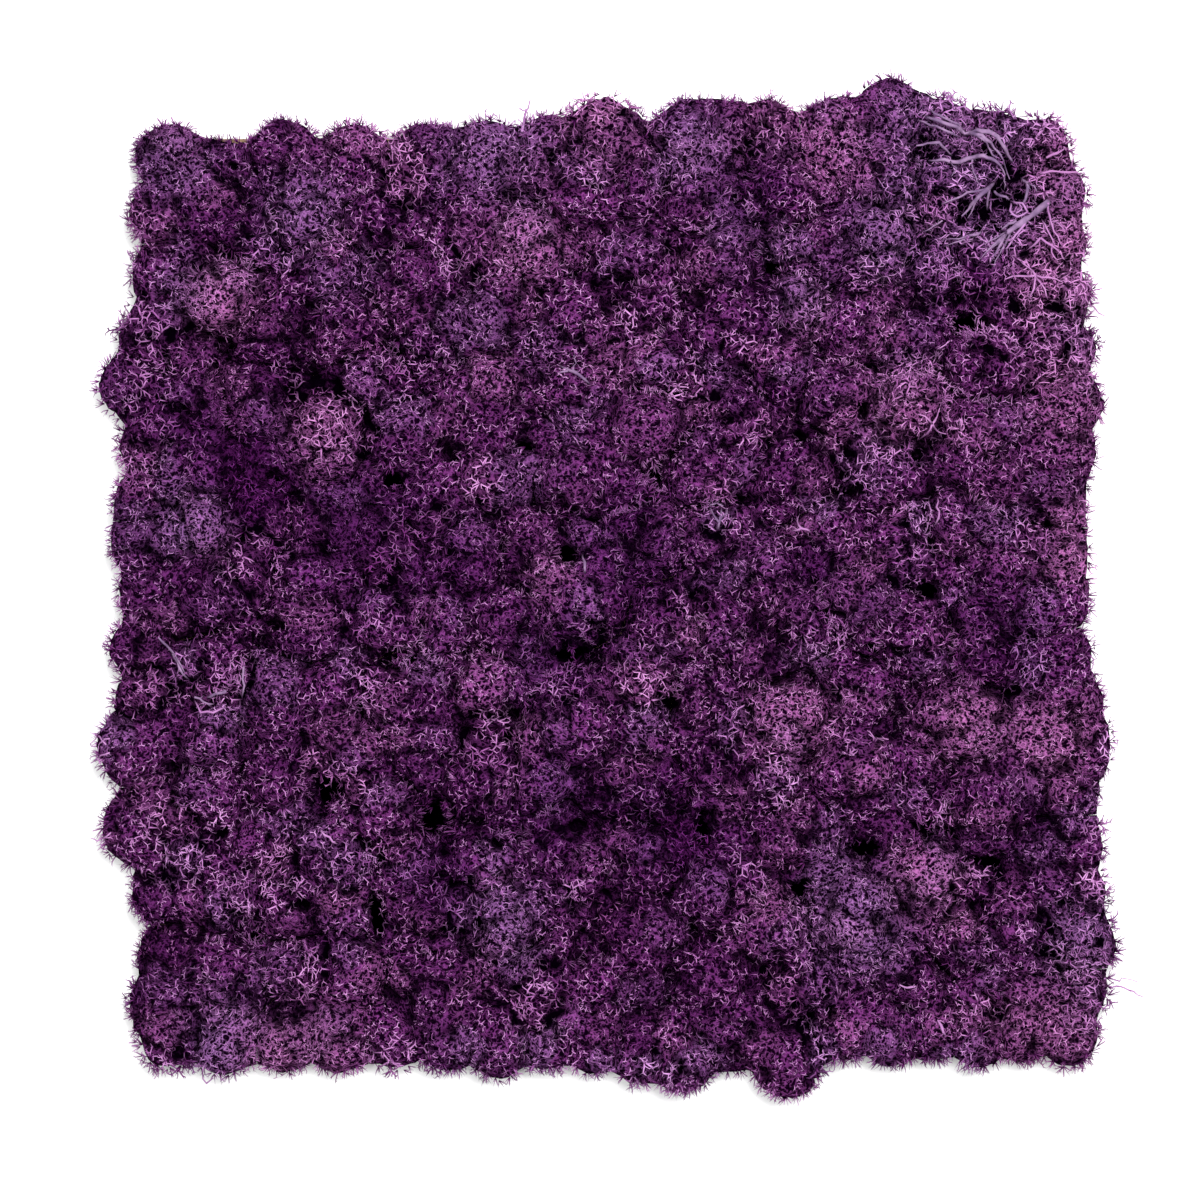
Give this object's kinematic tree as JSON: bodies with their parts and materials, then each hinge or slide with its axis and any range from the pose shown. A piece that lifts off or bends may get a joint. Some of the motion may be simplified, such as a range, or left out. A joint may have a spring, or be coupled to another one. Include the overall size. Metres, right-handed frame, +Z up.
{
  "type": "reindeer moss mat",
  "caption": "Square mat of dyed reindeer moss in rounded cushions, glued to a thin fibreboard backing.",
  "frame": {"origin": "middle of the board's underside", "axes": "+Z up through the moss, +Y towards the side at the top of the picture, +X to the picture's right"},
  "size_m": [0.5288, 0.5277, 0.051],
  "materials": {
    "dyed_moss": "matt, soft branched lichen dyed purple, pinker and greyer from tuft to tuft",
    "fibreboard": "matt, bare brown wood fibreboard"
  },
  "bodies": {
    "root": {"backing_board": "fibreboard", "moss_tuft_row1_1": "dyed_moss", "moss_tuft_row1_2": "dyed_moss", "moss_tuft_row1_3": "dyed_moss", "moss_tuft_row1_4": "dyed_moss", "moss_tuft_row1_5": "dyed_moss", "moss_tuft_row1_6": "dyed_moss", "moss_tuft_row1_7": "dyed_moss", "moss_tuft_row2_1": "dyed_moss", "moss_tuft_row2_2": "dyed_moss", "moss_tuft_row2_3": "dyed_moss", "moss_tuft_row2_4": "dyed_moss", "moss_tuft_row2_5": "dyed_moss", "moss_tuft_row2_6": "dyed_moss", "moss_tuft_row2_7": "dyed_moss", "moss_tuft_row3_1": "dyed_moss", "moss_tuft_row3_2": "dyed_moss", "moss_tuft_row3_3": "dyed_moss", "moss_tuft_row3_4": "dyed_moss", "moss_tuft_row3_5": "dyed_moss", "moss_tuft_row3_6": "dyed_moss", "moss_tuft_row3_7": "dyed_moss", "moss_tuft_row4_1": "dyed_moss", "moss_tuft_row4_2": "dyed_moss", "moss_tuft_row4_3": "dyed_moss", "moss_tuft_row4_4": "dyed_moss", "moss_tuft_row4_5": "dyed_moss", "moss_tuft_row4_6": "dyed_moss", "moss_tuft_row4_7": "dyed_moss", "moss_tuft_row5_1": "dyed_moss", "moss_tuft_row5_2": "dyed_moss", "moss_tuft_row5_3": "dyed_moss", "moss_tuft_row5_4": "dyed_moss", "moss_tuft_row5_5": "dyed_moss", "moss_tuft_row5_6": "dyed_moss", "moss_tuft_row5_7": "dyed_moss", "moss_tuft_row6_1": "dyed_moss", "moss_tuft_row6_2": "dyed_moss", "moss_tuft_row6_3": "dyed_moss", "moss_tuft_row6_4": "dyed_moss", "moss_tuft_row6_5": "dyed_moss", "moss_tuft_row6_6": "dyed_moss", "moss_tuft_row6_7": "dyed_moss", "moss_tuft_row7_1": "dyed_moss", "moss_tuft_row7_2": "dyed_moss", "moss_tuft_row7_3": "dyed_moss", "moss_tuft_row7_4": "dyed_moss", "moss_tuft_row7_5": "dyed_moss", "moss_tuft_row7_6": "dyed_moss", "moss_tuft_row7_7": "dyed_moss"}
  },
  "joints": []
}
